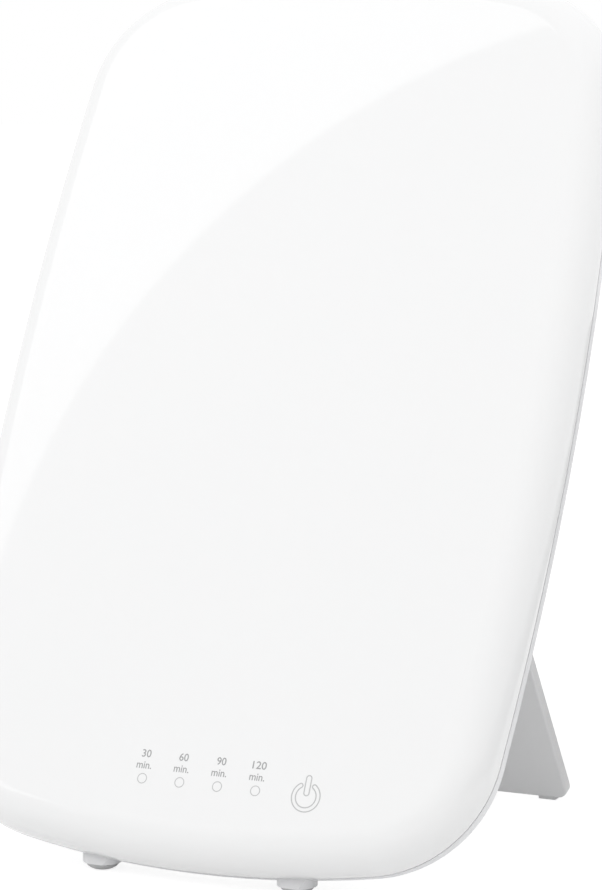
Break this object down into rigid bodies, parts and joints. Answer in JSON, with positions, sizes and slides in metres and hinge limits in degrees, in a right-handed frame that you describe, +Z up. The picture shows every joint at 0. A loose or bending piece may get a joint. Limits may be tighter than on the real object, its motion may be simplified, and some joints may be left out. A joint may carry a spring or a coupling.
{
  "type": "light therapy lamp",
  "caption": "Compact daylight therapy lamp: a glossy luminous panel with rolled edges and a touch row, leaning on a fold-out friction stand with rubber feet.",
  "frame": {"origin": "on the floor, in the plane of symmetry of the housing, at the middle of the standing lamp's depth", "axes": "+Z up, +Y towards the back, +X to the right as seen from the front"},
  "size_m": [0.168, 0.1344, 0.2366],
  "materials": {
    "opal_cover": "opal gloss",
    "white_shell": "fine satin",
    "white_frame": "matt white",
    "diffuser": "frosted",
    "guide": "clear, dotted back",
    "reflector": "diffuse white",
    "baffle": "matt white",
    "grey_stand": "light grey satin",
    "cable": "flat ribbon",
    "black_plastic": "black moulded",
    "header": "cream moulded",
    "contact": "tinned",
    "ferrite": "matt ferrite",
    "chip": "moulded",
    "phosphor": "yellow phosphor",
    "led_board": "white solder mask",
    "aluminium": "extruded",
    "steel": "plated",
    "spring_steel": "spring steel",
    "screw_steel": "zinc plated",
    "rubber": "soft dark grey",
    "timer_light": "light-emitting chip",
    "capacitor": "sleeved can",
    "circuit_board": "green solder mask"
  },
  "bodies": {
    "housing": {"board_screw_1": "steel", "board_screw_2": "steel", "board_screw_3": "steel", "board_screw_4": "steel", "cable_header": "header", "capacitor_1": "capacitor", "capacitor_2": "capacitor", "case_screw_1": "screw_steel", "case_screw_2": "screw_steel", "case_screw_3": "screw_steel", "case_screw_4": "screw_steel", "control_board": "circuit_board", "dc_jack": "black_plastic", "dc_jack_pin": "contact", "diffuser_sheet": "diffuser", "driver_chip": "chip", "flat_cable": "cable", "foot_left": "rubber", "foot_right": "rubber", "front_cover": "opal_cover", "heat_rail_left": "aluminium", "heat_rail_right": "aluminium", "hinge_pin_left": "steel", "hinge_pin_right": "steel", "inductor": "ferrite", "inner_frame": "white_frame", "led_board_left": "led_board", "led_board_right": "led_board", "led_line_left": "phosphor", "led_line_right": "phosphor", "light_baffle": "baffle", "light_guide": "guide", "main_board": "circuit_board", "rear_cover": "white_shell", "reflector_sheet": "reflector", "timer_light_1": "timer_light", "timer_light_2": "timer_light", "timer_light_3": "timer_light", "timer_light_4": "timer_light", "touch_electrode": "contact"},
    "stand": {"stand_plate": "grey_stand", "friction_sleeve_left": "spring_steel", "friction_sleeve_right": "spring_steel", "stand_pad_left": "rubber", "stand_pad_right": "rubber"}
  },
  "joints": [
    {"name": "stand_hinge", "type": "hinge", "parent": "housing", "child": "stand", "pos_m": [0, 0.01821, 0.13923], "axis": [1, 0, 0], "range_deg": [-45.1, 10]}
  ]
}
